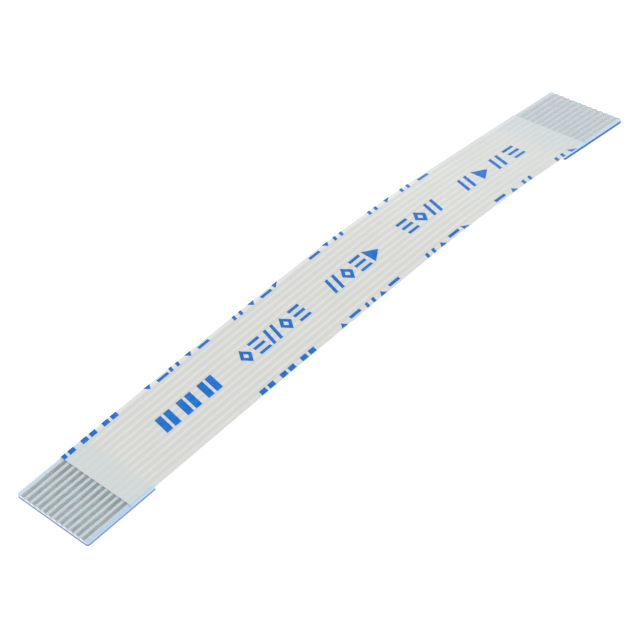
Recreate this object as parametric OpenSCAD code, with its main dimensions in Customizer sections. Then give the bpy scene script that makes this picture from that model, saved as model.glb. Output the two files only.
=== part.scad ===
// Flat flexible cable with same-side contacts and a stiffener tape under each end.
//
// Flat tinned conductors lie side by side between a base film and a cover film.
// The cover film stops short of both ends, so the conductors lie bare on the base
// film there, and a tape glued under the base film makes each end thick enough
// to push into a board connector.
//
// The cable is modelled as it lies at rest on a table, in a low arch. A film
// can't stretch, so it bends only along straight lines, its rulings. They run
// askew across this cable, which therefore twists a little as it arches: it rests
// on the whole edge of its far end and on the right corner of its near end.
//
// X runs along the cable from the near end to the far one, Y across it and +Z up.
// The origin is on the table, at the middle of the ground that the cable covers.

/* [Cable] */
// Length of the cable, measured flat from cut end to cut end
cable_length = 50; // [35:1:150]
// Number of conductors side by side
conductor_count = 12; // [4:1:24]
// Distance between the centres of two neighbouring conductors
pitch = 0.5; // [0.45:0.05:1.25]
// Distance from an outer conductor's centre to the slit edge beside it
edge_margin = 0.5; // [0.45:0.05:1.25]

/* [Layers] */
// Width of one conductor
conductor_w = 0.3; // [0.15:0.05:0.4]
// Thickness of one conductor
conductor_t = 0.035; // [0.02:0.005:0.1]
// Thickness of the base film, with the adhesive that holds the conductors
base_t = 0.05; // [0.03:0.01:0.15]
// Thickness of the cover film where it lies over a conductor
cover_t = 0.035; // [0.02:0.005:0.15]

/* [Ends] */
// Length of bare conductor at each end
contact_length = 3.8; // [2:0.1:5]
// Length of the stiffener tape under each end
stiffener_length = 5.8; // [5.2:0.1:8]
// Thickness of the stiffener tape
stiffener_t = 0.188; // [0.1:0.004:0.3]
// Thickness of the adhesive between the stiffener tape and the base film
adhesive_t = 0.027; // [0.015:0.002:0.06]
// Radius of the four outer corners, seen from above
corner_r = 0.18; // [0.05:0.01:0.3]

/* [Rest shape] */
// Angle between the rulings and a line square across the cable
ruling_skew = 45; // [0:5:50]
// Angle through which the long gentle bend turns the film
gentle_bend = 2.1; // [0.5:0.1:6]
// Angle through which the bend beside the far stiffener turns the film
far_bend = 9.5; // [2:0.5:16]
// Share of the bent length that the gentle bend takes
gentle_share = 0.6; // [0.3:0.05:0.8]
// Length of film that stays flat beyond each stiffener
flat_lead = 0.3; // [0.1:0.1:1]

/* [Printed marks] */
// Thickness of the ink
ink_t = 0.01; // [0.005:0.001:0.02]
// Height of a mark, across the cable
mark_h = 1.4; // [0.8:0.1:2]
// Width of a mark, along the cable
mark_w = 0.95; // [0.6:0.05:1.1]
// Width of a thin mark's strokes
stroke = 0.24; // [0.12:0.01:0.3]
// Width of a bold mark's strokes
bold_stroke = 0.52; // [0.3:0.01:0.54]
// Distance between the middles of two marks in a group
mark_step = 1.22; // [1.15:0.01:1.5]
// The same in a group of bold marks
bold_step = 1.85; // [1.5:0.05:2.5]
// The same in a widely spaced group
wide_step = 1.55; // [1.2:0.05:2]
// Distance from the last mark of a group to the first mark of the next
group_gap = 3.3; // [1.5:0.1:5]
// Distance between two rows of marks, across the cable
row_pitch = 3.55; // [3:0.05:5]
// Distance that each row starts before its right-hand neighbour, along the cable
row_shift = 5.8; // [0:0.1:10]
// Distance from the near end to the middle of the middle row's first mark
row_start = 10.1; // [8:0.1:12]
// Distance after which a row starts again
row_repeat = 46; // [40:1:60]

/* [Hidden] */
function two_digits(n) = n < 10 ? str("0", n) : str(n);
CONDUCTORS = [for (i = [1 : conductor_count]) str("conductor_", two_digits(i))];

film_blue = [0.62, 0.76, 0.90];
film_white = [0.86, 0.86, 0.84];
tinned_copper = [0.66, 0.68, 0.67];
tape_blue = [0.16, 0.33, 0.72];
glue_pale = [0.72, 0.84, 0.95];
ink_blue = [0.08, 0.38, 0.80];

// How finely curves are drawn
gentle_steps = 6;
far_steps = 12;
corner_steps = 4;
edge_step = 6;

// Heights of the layers, from the base film's upper face
cable_w = (conductor_count - 1) * pitch + 2 * edge_margin;
cover_top = conductor_t + cover_t;
base_bottom = -base_t;
adhesive_bottom = base_bottom - adhesive_t;
stiffener_bottom = adhesive_bottom - stiffener_t;

// The bent section, square to the rulings, with the far end level and the film
// rising towards it. A flat face lies over each stiffener as far as the first
// ruling that misses it, and both bends lie between those faces.
skew_cos = cos(ruling_skew);
skew_sin = sin(ruling_skew);
edge_reach = cable_w / 2 * skew_sin;
flat_width = (stiffener_length + flat_lead) * skew_cos + edge_reach;
bent_width = cable_length * skew_cos - 2 * flat_width;
near_tilt = gentle_bend + far_bend;
facets = concat(
    [[flat_width, near_tilt]],
    [for (i = [1 : gentle_steps])
        [bent_width * gentle_share / gentle_steps, near_tilt - gentle_bend * (i - 0.5) / gentle_steps]],
    [for (i = [1 : far_steps])
        [bent_width * (1 - gentle_share) / far_steps, far_bend - far_bend * (i - 0.5) / far_steps]],
    [[flat_width, 0]]
);
facet_count = len(facets);

// The section's corners, each [distance along the flat film, along the ground, height]
function facet_end(from, facet) = from + facet[0] * [1, cos(facet[1]), sin(facet[1])];
section = [
    for (i = 0, at = [0, 0, 0];
         i <= facet_count;
         at = i < facet_count ? facet_end(at, facets[i]) : at, i = i + 1)
        at
];
section_end = section[facet_count];

// The same, reaching past both ends of the cable
overrun = edge_reach + edge_margin;
creases = [for (i = [1 : facet_count - 1]) section[i]];
bend_corners = concat(
    [facet_end(section[0], [-overrun, near_tilt])],
    creases,
    [facet_end(section_end, [overrun, 0])]
);
corner_tilts = concat(
    [near_tilt],
    [for (i = [1 : facet_count - 1]) (facets[i - 1][1] + facets[i][1]) / 2],
    [0]
);
ground_of = [for (c = bend_corners) [c[0], c[1]]];
height_of = [for (c = bend_corners) [c[0], c[2]]];

// Where a point of the flat cable comes to lie, seen from above
function laid(p) =
    let (across = p[0] * skew_cos + p[1] * skew_sin)
    let (along = p[1] * skew_cos - p[0] * skew_sin)
    let (ground = lookup(across, ground_of))
    [ground * skew_cos - along * skew_sin, ground * skew_sin + along * skew_cos];

// How high the base film's upper face is there
function laid_height(p) = lookup(p[0] * skew_cos + p[1] * skew_sin, height_of);

// The section's line at another height in the layers
function bent_line(height) = [
    for (i = [0 : len(bend_corners) - 1])
        let (tilt = corner_tilts[i])
        [bend_corners[i][1] - height * sin(tilt), bend_corners[i][2] + height * cos(tilt)]
];

function reversed(list) = [for (i = [len(list) - 1 : -1 : 0]) list[i]];

function conductor_y(i) = (conductor_count - 1) / 2 * pitch - (i - 1) * pitch;

// One rounded corner of a flat outline, or a plain one where its radius is 0
function corner(x, y, r, from) = r == 0
    ? [[x, y]]
    : [for (i = [0 : corner_steps])
        let (a = from + 90 * i / corner_steps) [x + r * cos(a), y + r * sin(a)]];

// Points along a lengthwise edge, between two corners
function edge(from_x, to_x, y) =
    let (steps = ceil(abs(to_x - from_x) / edge_step))
    [for (i = [1 : 1 : steps - 1]) [from_x + (to_x - from_x) * i / steps, y]];

// Flat outline of a piece between two distances from the near end
function outline(low_x, high_x, low_y, high_y, low_r = 0, high_r = 0) = concat(
    edge(low_x + low_r, high_x - high_r, low_y),
    corner(high_x - high_r, low_y + high_r, high_r, -90),
    corner(high_x - high_r, high_y - high_r, high_r, 0),
    edge(high_x - high_r, low_x + low_r, high_y),
    corner(low_x + low_r, high_y - low_r, low_r, 90),
    corner(low_x + low_r, low_y + low_r, low_r, 180)
);

function full_width(low_x, high_x, low_r = 0, high_r = 0) =
    outline(low_x, high_x, -cable_w / 2, cable_w / 2, low_r, high_r);

far_contact_x = cable_length - contact_length;
far_stiffener_x = cable_length - stiffener_length;

base_outline = full_width(0, cable_length, corner_r, corner_r);
cover_outline = full_width(contact_length, far_contact_x);
near_tape_outline = full_width(0, stiffener_length, corner_r, 0);
far_tape_outline = full_width(far_stiffener_x, cable_length, 0, corner_r);

// The cable is set down by tipping its far end down, until the near end's lowest
// corner is no higher than the far end's lower edge.
far_edge_x = laid([cable_length, 0])[0];
far_edge_z = section_end[2] + stiffener_bottom;
near_corner = corner(corner_r, corner_r - cable_w / 2, corner_r, 180);
near_low = [for (p = near_corner) [laid(p)[0], laid_height(p) + stiffener_bottom / cos(near_tilt)]];
lay_angle = max([for (p = near_low) atan2(far_edge_z - p[1], far_edge_x - p[0])]);
set_down_x = [
    for (p = base_outline, height = [stiffener_bottom, conductor_t])
        (laid(p)[0] - far_edge_x) * cos(lay_angle)
        + (laid_height(p) + height - far_edge_z) * sin(lay_angle)
];
set_down_y = [for (p = base_outline) laid(p)[1]];
middle_x = (min(set_down_x) + max(set_down_x)) / 2;
middle_y = (min(set_down_y) + max(set_down_y)) / 2;

reach = cable_length + cable_w;

// A flat shape, seen from above as it lies on the bent film
module laid_shape(points) {
    polygon([for (p = points) laid(p)]);
}

// A bent sheet between two heights, much larger than the cable
module bent_sheet(low, high) {
    rotate([0, 0, ruling_skew])
        rotate([90, 0, 0])
            linear_extrude(height = 2 * reach, center = true)
                polygon(concat(bent_line(low), reversed(bent_line(high))));
}

// The part of a bent sheet that lies within a shape seen from above
module bent(low, high) {
    intersection() {
        bent_sheet(low, high);
        linear_extrude(height = reach, center = true) children();
    }
}

// The cable as it lies on the table
module set_down() {
    translate([-middle_x, -middle_y, 0])
        rotate([0, lay_angle, 0])
            translate([-far_edge_x, 0, -far_edge_z])
                children();
}

module bent_conductor(i) {
    low_y = conductor_y(i) - conductor_w / 2;
    bent(0, conductor_t)
        laid_shape(outline(0, cable_length, low_y, low_y + conductor_w));
}

module base_film() {
    color(film_blue)
        set_down()
            bent(base_bottom, 0)
                laid_shape(base_outline);
}

module conductor(i) {
    color(tinned_copper)
        set_down()
            bent_conductor(i);
}

module cover_film() {
    color(film_white)
        set_down()
            difference() {
                bent(0, cover_top)
                    laid_shape(cover_outline);
                for (i = [1 : conductor_count])
                    bent_conductor(i);
            }
}

module near_adhesive() {
    color(glue_pale)
        set_down()
            bent(adhesive_bottom, base_bottom)
                laid_shape(near_tape_outline);
}

module far_adhesive() {
    color(glue_pale)
        set_down()
            bent(adhesive_bottom, base_bottom)
                laid_shape(far_tape_outline);
}

module near_stiffener() {
    color(tape_blue)
        set_down()
            bent(stiffener_bottom, adhesive_bottom)
                laid_shape(near_tape_outline);
}

module far_stiffener() {
    color(tape_blue)
        set_down()
            bent(stiffener_bottom, adhesive_bottom)
                laid_shape(far_tape_outline);
}

// The marks are plain figures of one height, each drawn about its own middle.

module figure(at, points) {
    laid_shape([for (p = points) at + p]);
}

module slash(at, w, line) {
    figure(at, [
        [-w / 2, -mark_h / 2],
        [line - w / 2, -mark_h / 2],
        [w / 2, mark_h / 2],
        [w / 2 - line, mark_h / 2]
    ]);
}

module slash_pair(at, line) {
    half_w = (mark_w + line) / 2;
    for (side = [-1, 1])
        slash(at + [side * half_w / 2, 0], half_w, line);
}

module lozenge(at) {
    half_w = mark_w / 2;
    half_h = mark_h / 2;
    inner = 1 - stroke / half_w * norm([half_w, half_h]) / half_h;
    rim = [[-half_w, 0], [0, -half_h], [half_w, 0], [0, half_h]];
    difference() {
        figure(at, rim);
        figure(at, inner * rim);
    }
}

module dashes(at) {
    for (level = [-1, 0, 1])
        figure(at + [0, level * (mark_h - stroke) / 2], [
            [-mark_w / 2, -stroke / 2],
            [mark_w / 2, -stroke / 2],
            [mark_w / 2, stroke / 2],
            [-mark_w / 2, stroke / 2]
        ]);
}

module wedge(at) {
    figure(at, [[-mark_w / 2, -mark_h / 2], [mark_w / 2, 0], [-mark_w / 2, mark_h / 2]]);
}

module mark(kind, at) {
    if (kind == "bold") slash_pair(at, bold_stroke);
    if (kind == "slashes") slash_pair(at, stroke);
    if (kind == "lozenge") lozenge(at);
    if (kind == "dashes") dashes(at);
    if (kind == "wedge") wedge(at);
}

// The groups of a row, each [distance between its marks, its marks]
GROUPS = [
    [bold_step, ["bold", "bold", "bold"]],
    [mark_step, ["lozenge", "dashes", "slashes", "lozenge", "dashes"]],
    [mark_step, ["slashes", "lozenge", "dashes", "wedge"]],
    [mark_step, ["dashes", "lozenge", "slashes"]],
    [wide_step, ["slashes", "wedge", "slashes", "dashes"]]
];
group_starts = [
    for (g = 0, x = 0;
         g < len(GROUPS);
         x = x + GROUPS[g][0] * (len(GROUPS[g][1]) - 1) + group_gap, g = g + 1)
        x
];

// Every mark that shows on the cable: [kind, its place on the flat film]
rows_each_side = floor((cable_w + mark_h) / 2 / row_pitch);
marks = [
    for (row = [-rows_each_side : rows_each_side],
         copy = [-1 : ceil(cable_length / row_repeat)],
         g = [0 : len(GROUPS) - 1],
         i = [0 : len(GROUPS[g][1]) - 1])
        let (x = row_start - row * row_shift + copy * row_repeat + group_starts[g] + i * GROUPS[g][0])
        if (x > contact_length - mark_w / 2 && x < far_contact_x + mark_w / 2)
            [GROUPS[g][1][i], [x, row * row_pitch]]
];

module printed_marks() {
    color(ink_blue)
        set_down()
            bent(cover_top, cover_top + ink_t)
                intersection() {
                    for (m = marks)
                        mark(m[0], m[1]);
                    laid_shape(cover_outline);
                }
}

base_film();
for (i = [1 : conductor_count])
    conductor(i);
cover_film();
printed_marks();
near_adhesive();
far_adhesive();
near_stiffener();
far_stiffener();
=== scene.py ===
# %% [markdown]
# # A flat flexible cable on a light table
#
# This lesson dresses a short flat cable, the kind that joins two circuit boards.
# It is a laminate: twelve flat tinned conductors lie between two plastic films,
# blue tape stiffens both ends, and blue marks are printed on the upper film.
# Everything is drawn flat first, in millimetres, just as the real cable is made
# flat, and one function then lays it in the low arch in which it rests.

import math

import bmesh
import bpy
import numpy as np
from mathutils import Matrix, Vector


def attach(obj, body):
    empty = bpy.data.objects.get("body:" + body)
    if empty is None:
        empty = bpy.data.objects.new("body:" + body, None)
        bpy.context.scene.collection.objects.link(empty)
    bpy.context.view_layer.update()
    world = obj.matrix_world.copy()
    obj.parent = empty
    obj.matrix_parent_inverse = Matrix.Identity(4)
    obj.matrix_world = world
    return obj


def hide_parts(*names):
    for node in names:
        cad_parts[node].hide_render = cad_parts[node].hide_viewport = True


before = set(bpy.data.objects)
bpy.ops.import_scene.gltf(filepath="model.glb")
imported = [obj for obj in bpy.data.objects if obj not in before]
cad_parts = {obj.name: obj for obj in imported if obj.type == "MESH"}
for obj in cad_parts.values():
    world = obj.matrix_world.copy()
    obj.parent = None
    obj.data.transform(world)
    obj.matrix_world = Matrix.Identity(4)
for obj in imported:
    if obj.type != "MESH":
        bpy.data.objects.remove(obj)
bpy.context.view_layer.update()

# %% [markdown]
# ## The camera
#
# A small object seen from close by shows some perspective: its near end looks
# wider than its far one. A long lens a couple of hand widths away gives that.
# Its direction is written as axes, which are plainer to check than three turns:
# one to the right, one ahead along the line of sight, and up from those two.

# %% Place the camera
camera_place = Vector((-0.099321, -0.131605, 0.127377))
camera_right = Vector((0.690306, -0.697953, -0.190630))
camera_ahead = Vector((0.471071, 0.633547, -0.613768))
camera_up = camera_right.cross(camera_ahead)

camera_data = bpy.data.cameras.new("camera")
camera_data.lens = 180
camera_data.sensor_width = 36
camera_data.clip_start = 0.01
camera_data.clip_end = 20
camera = bpy.data.objects.new("camera", camera_data)
camera_axes = Matrix((camera_right, camera_up, -camera_ahead)).transposed()
camera.matrix_world = camera_axes.to_4x4()
camera.matrix_world.translation = camera_place
bpy.context.scene.collection.objects.link(camera)
bpy.context.scene.camera = camera
print("camera looks down at", round(math.degrees(math.asin(-camera_ahead.z)), 1), "degrees")

# %% [markdown]
# ## The flat cable's sizes
#
# Lengths along the cable are measured from its near cut end, widths from its
# middle line, and levels from the base film's upper face. They are the exact
# model's own values, in millimetres.

# %% Sizes of the flat cable
cable_length = 50.0
conductor_count = 12
pitch = 0.5
edge_margin = 0.5
cable_width = (conductor_count - 1) * pitch + 2 * edge_margin
half_width = cable_width / 2

conductor_width = 0.3
conductor_top = 0.035
cover_top = 0.07
base_bottom = -0.05
adhesive_bottom = -0.077
stiffener_bottom = -0.265

contact_length = 3.8
stiffener_length = 5.8
corner_radius = 0.18
cover_from, cover_to = contact_length, cable_length - contact_length
print("a cable", cable_length, "mm long and", cable_width, "mm wide")

# %% [markdown]
# ## How the cable lies
#
# A film can't stretch, so it only bends along straight lines, its rulings. Here
# they run askew, so the cable twists a little as it arches. Square to the
# rulings, the film's slope falls from the near end's to nothing at the far end,
# and adding up small steps along that slope gives the arch. A fine table of
# those steps serves every piece, so all the layers stay exactly together.

# %% Slope and height of the film, square to the rulings
skew = math.radians(45)
gentle_bend, far_bend = 2.1, 9.5  # degrees
gentle_share, flat_lead = 0.6, 0.3
flat_span = (stiffener_length + flat_lead) * math.cos(skew) + half_width * math.sin(skew)
bent_span = cable_length * math.cos(skew) - 2 * flat_span
bend_starts = [flat_span, flat_span + gentle_share * bent_span, flat_span + bent_span]

table_step, table_spare = 0.01, 8
table = np.arange(-table_spare, cable_length * math.cos(skew) + table_spare, table_step)
table_slope = np.interp(table, bend_starts, np.radians([gentle_bend + far_bend, far_bend, 0]))


def summed(rate):
    """The running total of a rate along the table, nothing at 0."""
    total = np.concatenate([[0], np.cumsum((rate[1:] + rate[:-1]) / 2) * table_step])
    return total - np.interp(0, table, total)


table_ground = summed(np.cos(table_slope))
table_height = summed(np.sin(table_slope))
print("the arch rises", round(float(table_height[-1]), 2), "mm square to the rulings")

# %% The function that bends the flat cable


def bent(flat):
    """Points of the flat cable, (along, across, level) in rows, as they lie in the arch."""
    along, across, level = np.asarray(flat, float).T
    over = along * math.cos(skew) + across * math.sin(skew)
    beside = across * math.cos(skew) - along * math.sin(skew)
    slope = np.interp(over, table, table_slope)
    ground = np.interp(over, table, table_ground) - level * np.sin(slope)
    height = np.interp(over, table, table_height) + level * np.cos(slope)
    return np.column_stack([
        ground * math.cos(skew) - beside * math.sin(skew),
        ground * math.sin(skew) + beside * math.cos(skew),
        height,
    ])


# %% [markdown]
# The arch is then set down on the table. It tips about the far end's lower edge
# until the near end's lowest corner touches, and the middle of the ground that
# it covers becomes the origin.

# %% Set the arch down on the table
far_edge = bent([[cable_length, 0, stiffener_bottom]])[0]
corner_turn = np.radians(np.linspace(180, 270, 9))
near_corner = bent(np.column_stack([
    corner_radius + corner_radius * np.cos(corner_turn),
    corner_radius - half_width + corner_radius * np.sin(corner_turn),
    np.full(len(corner_turn), stiffener_bottom),
]))
drop, run = far_edge[2] - near_corner[:, 2], far_edge[0] - near_corner[:, 0]
lay_angle = float(max(np.arctan2(drop, run)))


def tipped(flat):
    """The same points, tipped until both ends touch the table."""
    x, y, z = (bent(flat) - [far_edge[0], 0, far_edge[2]]).T
    return np.column_stack([
        x * math.cos(lay_angle) + z * math.sin(lay_angle),
        y,
        z * math.cos(lay_angle) - x * math.sin(lay_angle),
    ])


end_samples, side_samples = 27, 101
ends = [
    (along, across, level)
    for along in (0, cable_length)
    for across in np.linspace(-half_width, half_width, end_samples)
    for level in (stiffener_bottom, conductor_top)
]
sides = [
    (along, across, 0)
    for along in np.linspace(0, cable_length, side_samples)
    for across in (-half_width, half_width)
]
covered_ground = tipped(ends + sides)[:, :2]
ground_middle = (covered_ground.min(axis=0) + covered_ground.max(axis=0)) / 2


def at_rest(flat):
    """The same points in metres, where they lie in the shared frame."""
    return (tipped(flat) - [*ground_middle, 0]) / 1000


print("tipped by", round(math.degrees(lay_angle), 3), "degrees")

# %% [markdown]
# ## Finishes as arithmetic
#
# A finish is a sum: a colour here, a little more grey there, a stripe where a
# conductor lies. Shader nodes do such sums, but they are easier to read written
# out. One small class wraps a node's output so that Python's own signs add the
# nodes. Numbers go through Math nodes, and colours through Mix nodes.

# %% A node output that can be calculated with


class Amount:
    """A number that may differ from place to place on a surface."""

    def __init__(self, sheet, socket):
        self.sheet = sheet
        self.socket = socket

    def worked(self, operation, *values):
        """A Math node with these values in its sockets."""
        return self.sheet.node("ShaderNodeMath", {"operation": operation}, dict(enumerate(values)))

    def __add__(self, other):
        return self.worked("ADD", self, other)

    def __sub__(self, other):
        return self.worked("SUBTRACT", self, other)

    def __rsub__(self, other):
        return self.worked("SUBTRACT", other, self)

    def __mul__(self, other):
        return self.worked("MULTIPLY", self, other)

    def __mod__(self, other):
        return self.worked("FLOORED_MODULO", self, other)

    def __abs__(self):
        return self.worked("ABSOLUTE", self)

    __radd__ = __add__
    __rmul__ = __mul__

    def rising(self, low, high):
        """0 below low, 1 above high, and smooth between; low may be the larger."""
        return self.sheet.node(
            "ShaderNodeMapRange",
            {"interpolation_type": "SMOOTHSTEP", "clamp": True},
            {"Value": self, "From Min": low, "From Max": high, "To Min": 0.0, "To Max": 1.0},
        )

    def blended(self, colour, other_colour):
        """The first colour where this is 0 and the other where it is 1."""
        return self.sheet.node(
            "ShaderNodeMix",
            {"data_type": "RGBA", "clamp_factor": True},
            {"Factor_Float": self, "A_Color": colour, "B_Color": other_colour},
            "Result_Color",
        )


# %% A sheet of nodes, and its one way to add a node


class NodeSheet:
    """The nodes of a finish or of a room's light."""

    def __init__(self, tree):
        self.tree = tree
        self.tree.nodes.clear()

    def node(self, kind, settings, values, output=0):
        """Adds a node: its settings first, then what goes into its sockets."""
        made = self.tree.nodes.new(kind)
        for setting, value in settings.items():
            setattr(made, setting, value)
        for key, value in values.items():
            if isinstance(key, int):
                socket = made.inputs[key]
            else:
                socket = next(s for s in made.inputs if key in (s.identifier, s.name))
            if isinstance(value, Amount):
                self.tree.links.new(value.socket, socket)
            else:
                socket.default_value = value
        if output is None:
            return None
        if isinstance(output, int):
            return Amount(self, made.outputs[output])
        return Amount(self, next(s for s in made.outputs if output in (s.identifier, s.name)))


# %% A finish


class Finish(NodeSheet):
    """A material with its nodes, its flat coordinates and its surface shader."""

    def __init__(self, name):
        self.material = bpy.data.materials.new(name)
        self.material.use_nodes = True
        super().__init__(self.material.node_tree)
        self.place = self.node("ShaderNodeAttribute", {"attribute_name": "flat_mm"}, {}, "Vector")
        split = {"Vector": self.place}
        self.along = self.node("ShaderNodeSeparateXYZ", {}, split, "X")
        self.across = self.node("ShaderNodeSeparateXYZ", {}, split, "Y")
        self.level = self.node("ShaderNodeSeparateXYZ", {}, split, "Z")

    def grain(self, stretch, detail=2.0):
        """Even noise of about 0 to 1, as fine as stretch says along, across and through."""
        scaled = self.node(
            "ShaderNodeVectorMath", {"operation": "MULTIPLY"}, {0: self.place, 1: stretch}
        )
        return self.node(
            "ShaderNodeTexNoise",
            {"noise_dimensions": "3D"},
            {"Vector": scaled, "Scale": 1.0, "Detail": detail, "Roughness": 0.5},
        )

    def surface(self, colour, roughness, height, depth_mm, **constants):
        """Ends the finish in a shader. The height map stands depth_mm proud at most."""
        bump = self.node(
            "ShaderNodeBump",
            {},
            {"Height": height, "Distance": depth_mm / 1000, "Strength": 1.0},
            "Normal",
        )
        values = {"Base Color": colour, "Roughness": roughness, "Normal": bump}
        values.update({key.replace("_", " "): value for key, value in constants.items()})
        shader = self.node("ShaderNodeBsdfPrincipled", {}, values, "BSDF")
        self.node("ShaderNodeOutputMaterial", {}, {"Surface": shader}, None)
        print("finish", self.material.name, "has", len(self.tree.nodes), "nodes")
        return self.material


# %% [markdown]
# Colours are chosen by how they should look on the table, in the usual numbers
# up to 255. A paint's own colour is a little less, because the lights are a
# little brighter than full and gloss adds a share of its own.

# %% Colours as they look under the studio's lights
light_level = 1.16
gloss_share = 0.035


def looks(red, green, blue):
    """The paint that looks like this colour under the studio's lights."""
    linear = [((value / 255 + 0.055) / 1.055) ** 2.4 for value in (red, green, blue)]
    return tuple(max(0.0, (value - gloss_share) / light_level) for value in linear) + (1.0,)


print("white film is painted", [round(value, 2) for value in looks(216, 216, 212)])

# %% [markdown]
# ## The laminated films' finish
#
# The upper film is a thin white polyester. The conductors press through it as
# soft bands, a little greyer than the lines between them, and where blue tape
# lies below, its colour shows faintly through. Since the bands repeat with the
# pitch, one remainder gives the distance from the nearest conductor.

# %% Where the conductors lie


def over_conductor(finish, blur=0.05):
    """1 over a conductor and 0 beside it."""
    nearest = abs(finish.across % pitch - pitch / 2)
    outermost = conductor_count / 2 * pitch
    inside = abs(finish.across).rising(outermost + 0.02, outermost - 0.02)
    edge = conductor_width / 2
    return nearest.rising(edge + blur, edge - blur) * inside


def toward_slit(finish):
    """0 over the outermost conductors and 1 at the slit edges."""
    outer_edge = half_width - edge_margin + conductor_width / 2
    return abs(finish.across).rising(outer_edge, half_width)


def lighter_right_half(finish):
    """1 on the right half of the cable and 0 on the left. Colours on the right half are painted
    lighter than on the left, as painted light.
    """
    return finish.across.rising(0.1, -0.1)


def at_rim(finish):
    """1 on the narrow slit faces at both sides of the cable and 0 elsewhere. The finishes paint
    these faces bright, as painted light.
    """
    return abs(finish.across).rising(half_width - 0.008, half_width - 0.002)


def over_tape(finish, end, blur=0.1):
    """1 over the stiffener tape of one end and 0 elsewhere."""
    if end == "near":
        return finish.along.rising(stiffener_length + blur, stiffener_length - blur)
    far = cable_length - stiffener_length
    return finish.along.rising(far - blur, far + blur)


# %% The cover film's finish
cover = Finish("cover_film_white")
mottle = cover.grain((0.35, 0.9, 1.0), detail=3.0)
speckle = cover.grain((9.0, 9.0, 9.0), detail=2.0)
band = over_conductor(cover)
slit = toward_slit(cover)
cooler = cover.along.rising(34, 45)

# Painted light: the right half's margins and slit face are painted lighter than the left's.
right = lighter_right_half(cover)
body_margin = right.blended(looks(228, 232, 234), looks(216, 218, 214))
between = slit.blended(looks(224, 225, 220), body_margin)
body = band.blended(between, looks(214, 215, 210))
body = (cooler * 0.75).blended(body, looks(209, 212, 210))

near_margin = right.blended(looks(206, 224, 240), looks(180, 212, 243))
near_part = band.blended(slit.blended(looks(213, 218, 219), near_margin), looks(210, 216, 215))
far_margin = right.blended(looks(214, 222, 227), looks(188, 218, 246))
far_part = band.blended(slit.blended(looks(207, 214, 215), far_margin), looks(202, 209, 210))
colour = over_tape(cover, "near", 0.4).blended(body, near_part)
colour = over_tape(cover, "far", 0.7).blended(colour, far_part)

# Painted light: the slit faces are painted near white, and light blue over the tapes, where the
# blue is partly the tape's own colour showing through and partly painted light.
over_both = over_tape(cover, "near") + over_tape(cover, "far")
lit_body_rim = right.blended(looks(236, 238, 236), looks(229, 231, 226))
rim = over_both.blended(lit_body_rim, looks(190, 218, 246))
colour = at_rim(cover).blended(colour, rim)
dulled = (mottle - 0.5) * 0.35 + (speckle - 0.5) * 0.25 + 0.06
colour = dulled.blended(colour, looks(198, 200, 197))

cover_finish = cover.surface(
    colour,
    0.42 + (mottle - 0.5) * 0.16 + (speckle - 0.5) * 0.1,
    mottle * 0.7 + speckle * 0.3,
    0.004,
    IOR=1.38,
)

# %% [markdown]
# The base film is the same polyester, but clear enough for the blue tape to
# tint it where no cover film lies on it. Near the slit edges nothing hides the
# tape, and the film turns pale blue. From below, the conductors show through it
# as grey bands.

# %% The base film's finish
base = Finish("base_film_clear")
mottle = base.grain((0.5, 1.1, 1.0), detail=3.0)
speckle = base.grain((10.0, 10.0, 10.0), detail=2.0)
band = over_conductor(base, 0.03)
slit = toward_slit(base)
facing_up = base.level.rising(-0.02, -0.005)
near_end = base.along.rising(10, 5)

bed = near_end.blended(looks(189, 199, 204), looks(196, 214, 226))
# Painted light: the right half's margins are painted lighter than the left's.
right = lighter_right_half(base)
margin = near_end.blended(
    right.blended(looks(204, 216, 226), looks(182, 214, 245)),
    right.blended(looks(206, 224, 240), looks(176, 210, 243)),
)
above = slit.blended(bed, margin)
under_bands = band.blended(looks(224, 225, 220), looks(196, 198, 192))
below = slit.blended(under_bands, looks(228, 231, 231))
colour = facing_up.blended(below, above)
# Painted light: the slit faces are painted near white, and light blue over the tapes, where the
# blue is partly the tape's own colour showing through and partly painted light.
over_both = over_tape(base, "near") + over_tape(base, "far")
rim = over_both.blended(looks(232, 234, 232), looks(186, 216, 246))
colour = at_rim(base).blended(colour, rim)
dulled = (mottle - 0.5) * 0.3 + (speckle - 0.5) * 0.2 + 0.05
colour = dulled.blended(colour, looks(186, 192, 194))

base_finish = base.surface(
    colour,
    0.36 + (mottle - 0.5) * 0.16 + (speckle - 0.5) * 0.1,
    mottle * 0.7 + speckle * 0.3,
    0.003,
    IOR=1.38,
)

# %% [markdown]
# ## The conductors' finish
#
# The conductors are copper strip, rolled flat and tinned. Tin is a soft grey
# metal that goes matt, with fine lines along the rolling direction, and a few
# scuffs across it where the contacts of a connector have wiped over it. The near
# end's tin is painted warmer than the far end's, and darker towards the cover
# film's edge. The rolled sides are painted brighter than the face, a painted
# highlight, and each conductor's cut end has a bright sliver, a painted highlight too.

# %% The tinned conductors' finish
tin = Finish("tinned_copper_matt")
rolling = tin.grain((0.6, 40.0, 1.0), detail=3.0)
cloudy = tin.grain((1.4, 3.0, 1.0), detail=3.0)
scuffs = tin.grain((22.0, 4.0, 1.0), detail=1.0).rising(0.62, 0.74)

clouds = cloudy.rising(0.25, 0.75)
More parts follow.
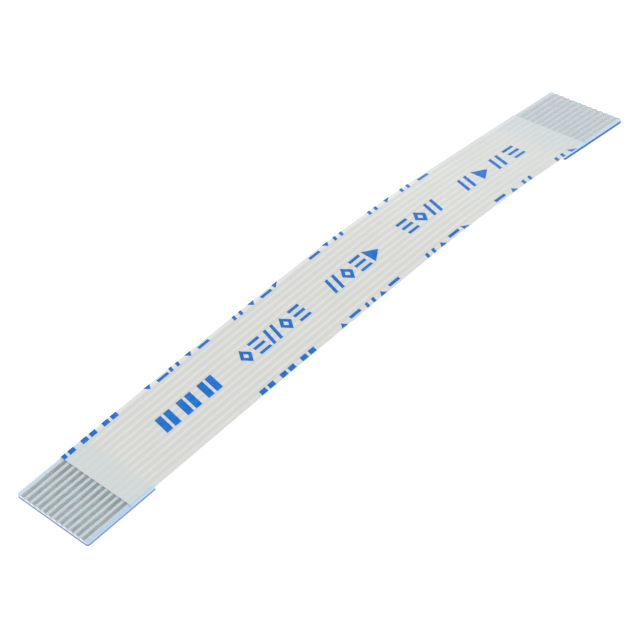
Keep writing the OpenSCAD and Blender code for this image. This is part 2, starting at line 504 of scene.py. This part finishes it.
# The near end's tin is painted warmer than the far end's, and darker towards the cover film's
# edge.
far_tin = clouds.blended((0.300, 0.336, 0.350, 1.0), (0.345, 0.384, 0.400, 1.0))
near_tin = clouds.blended((0.322, 0.346, 0.338, 1.0), (0.402, 0.433, 0.428, 1.0))
by_cover = tin.along.rising(2.0, contact_length) * tin.along.rising(6, 4)
near_tin = (by_cover * 0.45).blended(near_tin, (0.225, 0.232, 0.220, 1.0))
toward_near_end = tin.along.rising(12, 6)
colour = toward_near_end.blended(far_tin, near_tin)
colour = (rolling.rising(0.55, 0.75) * 0.25).blended(colour, (0.24, 0.25, 0.23, 1.0))
colour = (scuffs * 0.3).blended(colour, (0.46, 0.48, 0.46, 1.0))

# Painted highlight: a bright sliver is painted on each conductor's cut end.
near_cut_highlight = tin.along.rising(0.10, 0.05)
far_cut_highlight = tin.along.rising(cable_length - 0.10, cable_length - 0.05)
cut_end_highlight = near_cut_highlight + far_cut_highlight
colour = cut_end_highlight.blended(colour, (0.78, 0.81, 0.82, 1.0))
# Painted highlight: the conductors' rolled sides are painted brighter than the face.
from_middle_line = abs(tin.across % pitch - pitch / 2)
side_highlight = from_middle_line.rising(conductor_width / 2 - 0.012, conductor_width / 2 - 0.003)
colour = (side_highlight * 0.8).blended(colour, (0.68, 0.72, 0.75, 1.0))

tin_finish = tin.surface(
    colour,
    0.46 + (cloudy - 0.5) * 0.14 - scuffs * 0.08 - cut_end_highlight * 0.1,
    rolling * 0.7 + scuffs * 0.3,
    0.0015,
    Metallic=1.0,
)

# %% [markdown]
# ## The stiffeners, their glue and the ink
#
# The stiffener is a thick blue polyester tape. Its edges are the darkest part of
# the cable, and slitting leaves fine lines along them. The edge faces are painted
# in different blues by how light falls on them: the near tape's slit sides lighter
# than the far tape's and than the cut end, as painted light and shade. Its face is
# brighter, with faint lengthwise lines from the roll that it came on. The glue
# above it is pale, and shows the tape's blue.

# %% The stiffener tape's finish
tape = Finish("stiffener_tape_blue")
cloudy = tape.grain((0.8, 0.8, 2.0), detail=3.0)
roll_lines = tape.grain((0.5, 14.0, 30.0), detail=2.0)
face_below = tape.level.rising(stiffener_bottom + 0.02, stiffener_bottom + 0.002)

# Painted light and shade: the near tape's slit sides are painted lighter than the far tape's, and
# the cut end darker.
near_tape = tape.along.rising(20, 10)
slit_edge_shade = near_tape.blended(looks(70, 102, 164), looks(126, 146, 182))
cut_end = tape.along.rising(0.02, 0.0)
edge_blue = cut_end.blended(slit_edge_shade, looks(86, 103, 150))
edge_blue = (cloudy.rising(0.4, 0.7) * 0.35).blended(edge_blue, looks(120, 148, 200))
face_blue = cloudy.blended(looks(66, 112, 200), looks(92, 140, 214))
colour = face_below.blended(edge_blue, face_blue)
colour = (roll_lines.rising(0.5, 0.75) * 0.25).blended(colour, looks(120, 152, 210))

tape_finish = tape.surface(
    colour,
    0.34 + (cloudy - 0.5) * 0.18,
    roll_lines,
    0.003,
    IOR=1.52,
)

# %% The glue's finish
glue = Finish("tape_adhesive_pale")
cloudy = glue.grain((3.0, 3.0, 12.0), detail=2.0)
glue_finish = glue.surface(
    cloudy.blended(looks(186, 216, 244), looks(222, 238, 250)),
    0.5 + (cloudy - 0.5) * 0.2,
    cloudy,
    0.003,
    IOR=1.48,
)

# %% [markdown]
# The marks are screen printed. Screen ink dries a little uneven: it is thinner
# in small cloudy patches, and rough at the grain of the mesh it came through.

# %% The printed ink's finish
ink = Finish("printed_ink_blue")
patches = ink.grain((2.5, 2.5, 2.5), detail=3.0)
mesh_grain = ink.grain((16.0, 16.0, 16.0), detail=2.0)
colour = patches.rising(0.3, 0.7).blended(looks(38, 115, 203), looks(56, 129, 214))
colour = (mesh_grain.rising(0.58, 0.8) * 0.3).blended(colour, looks(96, 154, 222))
ink_finish = ink.surface(
    colour,
    0.4 + (patches - 0.5) * 0.2,
    patches * 0.4 + mesh_grain * 0.6,
    0.003,
    IOR=1.22,
)

# %% [markdown]
# ## Turning a flat drawing into a piece
#
# Each piece keeps the flat coordinates of its points as an attribute. The
# finishes read those, so a stripe painted along a conductor stays on it however
# the cable bends. Edges sharper than 30 degrees stay crisp.

# %% Make a piece from flat points
crease_angle = math.radians(30)


def add_piece(name, flat, faces, material, slot, nodes):
    """A piece of the cable, bent to its rest shape, in place of its exact solid."""
    flat = np.asarray(flat, float)
    mesh = bpy.data.meshes.new(name)
    mesh.from_pydata(at_rest(flat).tolist(), [], faces)
    drawn_at = mesh.attributes.new("flat_mm", "FLOAT_VECTOR", "POINT")
    drawn_at.data.foreach_set("vector", flat.ravel())
    mesh.polygons.foreach_set("use_smooth", [True] * len(mesh.polygons))
    mesh.set_sharp_from_angle(angle=crease_angle)
    mesh.materials.append(material)
    mesh.validate()
    piece = bpy.data.objects.new(name, mesh)
    bpy.context.scene.collection.objects.link(piece)
    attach(piece, "root")
    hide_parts(*nodes)
    print(name, "has", len(mesh.polygons), "faces")
    return piece


# %% [markdown]
# Two ways of drawing are enough. A strip is one cross-section drawn out along
# the cable, as a rolled conductor or a film with ribs is. A sheet is an outline
# with some thickness and finely broken edges, as a die cuts it. Both are then
# divided every half millimetre, so that they can follow the arch.

# %% Strips
station_step = 0.5


def strip(section, low, high):
    """A closed section of (across, level) corners, counter-clockwise, drawn out lengthwise."""
    section = np.asarray(section, float)
    places = np.linspace(low, high, round((high - low) / station_step) + 1)
    count = len(section)
    flat = np.vstack([np.column_stack([np.full(count, place), section]) for place in places])
    faces = [
        (ring * count + i, ring * count + j, (ring + 1) * count + j, (ring + 1) * count + i)
        for ring in range(len(places) - 1)
        for i, j in zip(range(count), [*range(1, count), 0])
    ]
    last = (len(places) - 1) * count
    faces.append(tuple(range(count - 1, -1, -1)))
    faces.append(tuple(range(last, last + count)))
    return flat, faces


# %% Sheets
edge_break = 0.006
smallest_radius = 1.5 * edge_break
corner_steps = 6


def outline(low, high, low_radius, high_radius, inset):
    """The rim of a full-width sheet, its corners rounded, counter-clockwise from above."""
    corners = [
        (high, -half_width, high_radius, -90),
        (high, half_width, high_radius, 0),
        (low, half_width, low_radius, 90),
        (low, -half_width, low_radius, 180),
    ]
    points = []
    for x, y, radius, start in corners:
        toward_x, toward_y = (-1 if x == high else 1), (-1 if y > 0 else 1)
        turn = np.radians(start + np.linspace(0, 90, corner_steps + 1))
        radius = max(radius, smallest_radius)
        points.append(np.column_stack([
            x + toward_x * radius + (radius - inset) * np.cos(turn),
            y + toward_y * radius + (radius - inset) * np.sin(turn),
        ]))
    return np.vstack(points)


def cut_at(made, place, axis):
    """Divides a flat drawing with one cut, at a place along (0) or across (1)."""
    facing = Vector((0, 0, 0))
    facing[axis] = 1
    bmesh.ops.bisect_plane(
        made, geom=made.verts[:] + made.edges[:] + made.faces[:],
        dist=1e-7, plane_co=facing * place, plane_no=facing,
    )


def cut_evenly(made, low, high, axis, step):
    """Divides a flat drawing with evenly spaced cuts."""
    first, last = math.ceil((low + 1e-6) / step), math.floor((high - 1e-6) / step)
    for i in range(first, last + 1):
        cut_at(made, i * step, axis)


def drawn(made):
    """A flat drawing's points and faces, in order of place, so that every run gives the same."""
    points = sorted(made.verts, key=lambda vertex: vertex.co[:])
    number = {vertex: i for i, vertex in enumerate(points)}
    flat = [vertex.co[:] for vertex in points]
    faces = sorted([number[vertex] for vertex in face.verts] for face in made.faces)
    made.free()
    return flat, faces


def flat_sheet(low, high, bottom, top, low_radius, high_radius):
    """A full-width sheet between two levels, still flat, with its edges broken."""
    made = bmesh.new()
    rings = []
    for level, inset in (
        (bottom, edge_break), (bottom + edge_break, 0), (top - edge_break, 0), (top, edge_break),
    ):
        rim = outline(low, high, low_radius, high_radius, inset)
        rings.append([made.verts.new((x, y, level)) for x, y in rim])
    for lower, upper in zip(rings, rings[1:]):
        for i in range(len(lower)):
            j = (i + 1) % len(lower)
            made.faces.new((lower[i], lower[j], upper[j], upper[i]))
    made.faces.new(rings[0][::-1])
    made.faces.new(rings[-1])
    cut_evenly(made, low, high, 0, station_step)
    cut_evenly(made, -half_width, half_width, 1, station_step)
    return made


# %% [markdown]
# ## The base film
#
# The base film runs the whole length, and everything else is fixed to it, so it
# is the piece that stands for the cable as a cord: a flat one, 50 mm long and
# 6.5 mm wide, cut off square at both ends as the real cable is. Where the
# conductors lie bare, the film's glue stands a little way up their sides, which
# makes a shallow trough between each two of them.

# %% The glue between the bare conductors
glue_climb, glue_floor, glue_reach = 0.020, 0.006, 0.035
glue_fade = 0.2
conductor_lines = [((conductor_count - 1) / 2 - i) * pitch for i in range(conductor_count)]
trough_cuts = [
    line + side * (conductor_width / 2 + out)
    for line in conductor_lines
    for side in (-1, 1)
    for out in (-0.002, 0.0, 0.02, 0.05)
]


def glue_level(along, across):
    """How high the film's glue stands at a place between the bare conductors."""
    bare = along < cover_from - 0.005 or along > cover_to + 0.005
    outside = min(abs(across - line) for line in conductor_lines) - conductor_width / 2
    if not bare or outside < -0.001 or abs(across) > half_width - 2 * edge_break:
        return 0.0
    at_slit = min(1.0, (half_width - abs(across)) / glue_fade)
    return (glue_climb * math.exp(-max(outside, 0) / glue_reach) + glue_floor) * at_slit


# %% The base film
trough_end = 0.01
made = flat_sheet(0, cable_length, base_bottom, 0, corner_radius, corner_radius)
for across in trough_cuts:
    cut_at(made, across, 1)
for along in (cover_from - trough_end, cover_from, cover_to, cover_to + trough_end):
    cut_at(made, along, 0)
for vertex in made.verts:
    if abs(vertex.co.z) < 1e-6:
        vertex.co.z = glue_level(vertex.co.x, vertex.co.y)

base_film = add_piece("base_film_sheet", *drawn(made), base_finish, "base_film", ["base_film"])

# %% [markdown]
# ## The conductors
#
# A conductor is round wire rolled flat, so its edges stay round. Each lies in
# the film's glue, which climbs a little way up its sides.

# %% The conductors
round_edge = 0.010
edge_turn = np.radians(np.linspace(0, 90, 4))


def rolled_section(middle_line):
    """A flat strip's section with rounded upper and lower edges."""
    corners = [
        (conductor_width / 2, conductor_top, 0),
        (-conductor_width / 2, conductor_top, 90),
        (-conductor_width / 2, 0, 180),
        (conductor_width / 2, 0, 270),
    ]
    points = []
    for across, level, start in corners:
        turn = edge_turn + math.radians(start)
        turn_across = middle_line + across - math.copysign(round_edge, across)
        turn_level = level + (-round_edge if level else round_edge)
        points += zip(
            turn_across + round_edge * np.cos(turn),
            turn_level + round_edge * np.sin(turn),
        )
    return points


for i, middle_line in enumerate(conductor_lines):
    add_piece(
        f"conductor_strip_{i + 1:02d}",
        *strip(rolled_section(middle_line), 0, cable_length),
        tin_finish,
        "tinned_copper",
        [f"conductor_{i + 1:02d}"],
    )

# %% [markdown]
# ## The cover film
#
# The laminating roller presses the cover film down between the conductors, so
# its upper face has twelve very low ribs, about a hundredth of a millimetre
# high. Below, it has a groove for each conductor.

# %% The cover film
rib_height = 0.012
rib_samples = 8
film_places = np.linspace(-half_width, half_width, round(cable_width / pitch * rib_samples) + 1)


def cover_level(across):
    """The level of the cover film's upper face at a distance from the middle line."""
    across = np.abs(np.asarray(across, float))
    from_conductor = np.abs(across % pitch - pitch / 2)
    outer = (conductor_count - 1) / 2 * pitch
    from_conductor = np.where(across > outer, across - outer, from_conductor)
    flat_top = 0.1
    fall = np.clip((from_conductor - flat_top) / (pitch / 2 - flat_top), 0, 1)
    return cover_top - rib_height * fall * fall * (3 - 2 * fall)


def cover_section():
    """The cover film's section: ribbed above, and grooved for the conductors below."""
    top = [(across, float(cover_level(across))) for across in film_places[::-1]]
    under = [(-half_width, 0.0)]
    for i in range(conductor_count):
        left = (i - (conductor_count - 1) / 2) * pitch - conductor_width / 2
        right = left + conductor_width
        under += [(left, 0.0), (left, conductor_top), (right, conductor_top), (right, 0.0)]
    under.append((half_width, 0.0))
    return top + under


add_piece(
    "cover_film_sheet",
    *strip(cover_section(), cover_from, cover_to),
    cover_finish,
    "cover_film",
    ["cover_film"],
)

# %% [markdown]
# ## The stiffeners
#
# A stiffener is die-cut together with the cable's end, so both share the same
# rounded corners. Its glue shows as a thin pale line between tape and film.

# %% The stiffeners and their glue
tape_ends = {
    "near": (0, stiffener_length, corner_radius, 0),
    "far": (cable_length - stiffener_length, cable_length, 0, corner_radius),
}
for end, (low, high, *radii) in tape_ends.items():
    add_piece(
        f"{end}_glue_layer",
        *drawn(flat_sheet(low, high, adhesive_bottom, base_bottom, *radii)),
        glue_finish,
        "tape_adhesive",
        [f"{end}_adhesive"],
    )
    add_piece(
        f"{end}_stiffener_tape",
        *drawn(flat_sheet(low, high, stiffener_bottom, adhesive_bottom, *radii)),
        tape_finish,
        "stiffener_tape",
        [f"{end}_stiffener"],
    )

# %% [markdown]
# ## The printed marks
#
# Rows of plain figures run along the cable, and the slit edges cut through the
# outer rows, because the film is printed before it is slit. Each figure is
# drawn as flat faces, trimmed to the film, divided so that it can follow the
# ribs, and then given the thickness of the ink.

# %% The figures
mark_height, mark_width = 1.4, 0.95
stroke, bold_stroke = 0.24, 0.52
half_height = mark_height / 2


def slash_pair(thickness):
    """Two leaning strokes side by side."""
    width = (mark_width + thickness) / 2
    strokes = []
    for x in (-width / 2, width / 2):
        left, right = x - width / 2, x + width / 2
        strokes.append([
            (left, -half_height), (left + thickness, -half_height),
            (right, half_height), (right - thickness, half_height),
        ])
    return strokes


def lozenge():
    """An open lozenge, as four strokes."""
    half = np.array([mark_width / 2, half_height])
    inner = 1 - stroke / half[0] * float(np.hypot(*half)) / half[1]
    tips = [half * corner for corner in ((-1, 0), (0, -1), (1, 0), (0, 1))]
    return [
        [tip, following, inner * following, inner * tip]
        for tip, following in zip(tips, tips[1:] + tips[:1])
    ]


def dashes():
    """Three strokes, one above the other."""
    w, h = mark_width / 2, stroke / 2
    outer = (mark_height - stroke) / 2
    return [[(-w, y - h), (w, y - h), (w, y + h), (-w, y + h)] for y in (-outer, 0, outer)]


def wedge():
    """A filled wedge that points along the cable."""
    w = mark_width / 2
    return [[(-w, -half_height), (w, 0), (-w, half_height)]]


figures = {
    "bold": slash_pair(bold_stroke),
    "slashes": slash_pair(stroke),
    "lozenge": lozenge(),
    "dashes": dashes(),
    "wedge": wedge(),
}

print("figures:", ", ".join(figures))

# %% Where the marks stand
groups = [
    (1.85, ["bold", "bold", "bold"]),
    (1.22, ["lozenge", "dashes", "slashes", "lozenge", "dashes"]),
    (1.22, ["slashes", "lozenge", "dashes", "wedge"]),
    (1.22, ["dashes", "lozenge", "slashes"]),
    (1.55, ["slashes", "wedge", "slashes", "dashes"]),
]
group_gap, row_pitch = 3.3, 3.55
row_start, row_shift, row_repeat = 10.1, 5.8, 46.0

row_marks = []
group_start = 0.0
for step, kinds in groups:
    row_marks += [(kind, group_start + i * step) for i, kind in enumerate(kinds)]
    group_start += step * (len(kinds) - 1) + group_gap

marks = [
    (kind, row_start - row * row_shift + copy * row_repeat + along, row * row_pitch)
    for row in (-1, 0, 1)
    for copy in (-1, 0, 1, 2)
    for kind, along in row_marks
]
first_mark, last_mark = cover_from - mark_width / 2, cover_to + mark_width / 2
marks = [mark for mark in marks if first_mark < mark[1] < last_mark]
print(len(marks), "marks, whole or trimmed")

# %% The printed marks
ink_thickness = 0.008
ink_sunk = 0.002
trims = [
    ((cover_from, 0, 0), (-1, 0, 0)),
    ((cover_to, 0, 0), (1, 0, 0)),
    ((0, -half_width, 0), (0, -1, 0)),
    ((0, half_width, 0), (0, 1, 0)),
]

made = bmesh.new()
for kind, along, across in marks:
    for corners in figures[kind]:
        made.faces.new([made.verts.new((along + x, across + y, 0)) for x, y in corners])
bmesh.ops.remove_doubles(made, verts=made.verts[:], dist=1e-4)
for place, facing in trims:
    bmesh.ops.bisect_plane(
        made, geom=made.verts[:] + made.edges[:] + made.faces[:],
        dist=1e-6, plane_co=place, plane_no=facing, clear_outer=True,
    )
cut_evenly(made, cover_from, cover_to, 0, station_step)
cut_evenly(made, -half_width, half_width, 1, pitch / rib_samples)

raised = bmesh.ops.extrude_face_region(made, geom=made.faces[:], use_keep_orig=True)["geom"]
upper = {part for part in raised if isinstance(part, bmesh.types.BMVert)}
for vertex in made.verts:
    film_level = float(cover_level(vertex.co.y))
    vertex.co.z = film_level + (ink_thickness if vertex in upper else -ink_sunk)
bmesh.ops.recalc_face_normals(made, faces=made.faces[:])

add_piece("printed_ink_marks", *drawn(made), ink_finish, "blue_ink", ["printed_marks"])

# %% [markdown]
# ## The cable's middle line
#
# The whole cable is one flat cord. The line along the middle of its base film is
# worked out here, in forty points where it rests, and the other layers go with it.

line_points = 40
line = at_rest(np.column_stack([
    np.linspace(0, cable_length, line_points),
    np.zeros(line_points),
    np.full(line_points, base_bottom / 2),
]))

# %% [markdown]
# ## The studio
#
# The cable lies on a light table, so it throws hardly any shadow and its slit
# edges stay bright. The room's walls are bright and its ceiling is dimmer. A
# broad soft light hangs above, and a smaller one low behind the far end. The
# near contacts mirror the ceiling and the far ones that low light, so tin looks
# brighter at the far end.

# %% The light table
table_paint = Finish("table_white")
table_place = table_paint.node("ShaderNodeTexCoord", {}, {}, "Object")
fibre = table_paint.node(
    "ShaderNodeTexNoise", {}, {"Vector": table_place, "Scale": 900.0, "Detail": 3.0}
)
table_finish = table_paint.surface(
    fibre.blended((0.24, 0.24, 0.24, 1.0), (0.26, 0.26, 0.26, 1.0)),
    0.85 + (fibre - 0.5) * 0.1,
    fibre,
    0.01,
    IOR=1.3,
    Emission_Color=(1.0, 1.0, 1.0, 1.0),
    Emission_Strength=0.98,
)

table_reach, table_level = 3.0, -2e-5
table_mesh = bpy.data.meshes.new("table_top")
table_mesh.from_pydata(
    [
        (side * table_reach, end * table_reach, table_level)
        for side, end in ((-1, -1), (1, -1), (1, 1), (-1, 1))
    ],
    [],
    [(0, 1, 2, 3)],
)
table_mesh.materials.append(table_finish)
table_top = bpy.data.objects.new("table_top", table_mesh)
bpy.context.scene.collection.objects.link(table_top)

# %% The room and its lights
room = bpy.data.worlds.new("room")
room.use_nodes = True
walls = NodeSheet(room.node_tree)
direction = walls.node("ShaderNodeTexCoord", {}, {}, "Generated")
upward = walls.node("ShaderNodeSeparateXYZ", {}, {"Vector": direction}, "Z")
brightness = 1.5 - upward.rising(0.45, 0.85) * 0.72
glow = walls.node(
    "ShaderNodeBackground", {}, {"Color": (1.0, 1.0, 1.0, 1.0), "Strength": brightness}
)
walls.node("ShaderNodeOutputWorld", {}, {"Surface": glow}, None)
bpy.context.scene.world = room


def soft_light(name, place, size, power):
    """A square light that shines at the cable."""
    data = bpy.data.lights.new(name, "AREA")
    data.size = size
    data.energy = power
    light = bpy.data.objects.new(name, data)
    light.location = place
    light.rotation_euler = Vector(place).to_track_quat("Z", "Y").to_euler()
    bpy.context.scene.collection.objects.link(light)


soft_light("overhead_softbox", (-0.35, 0.30, 0.75), 0.6, 1.0)
soft_light("low_back_softbox", (0.52, 0.46, 0.32), 0.36, 0.45)
bpy.context.scene.view_settings.view_transform = "Standard"
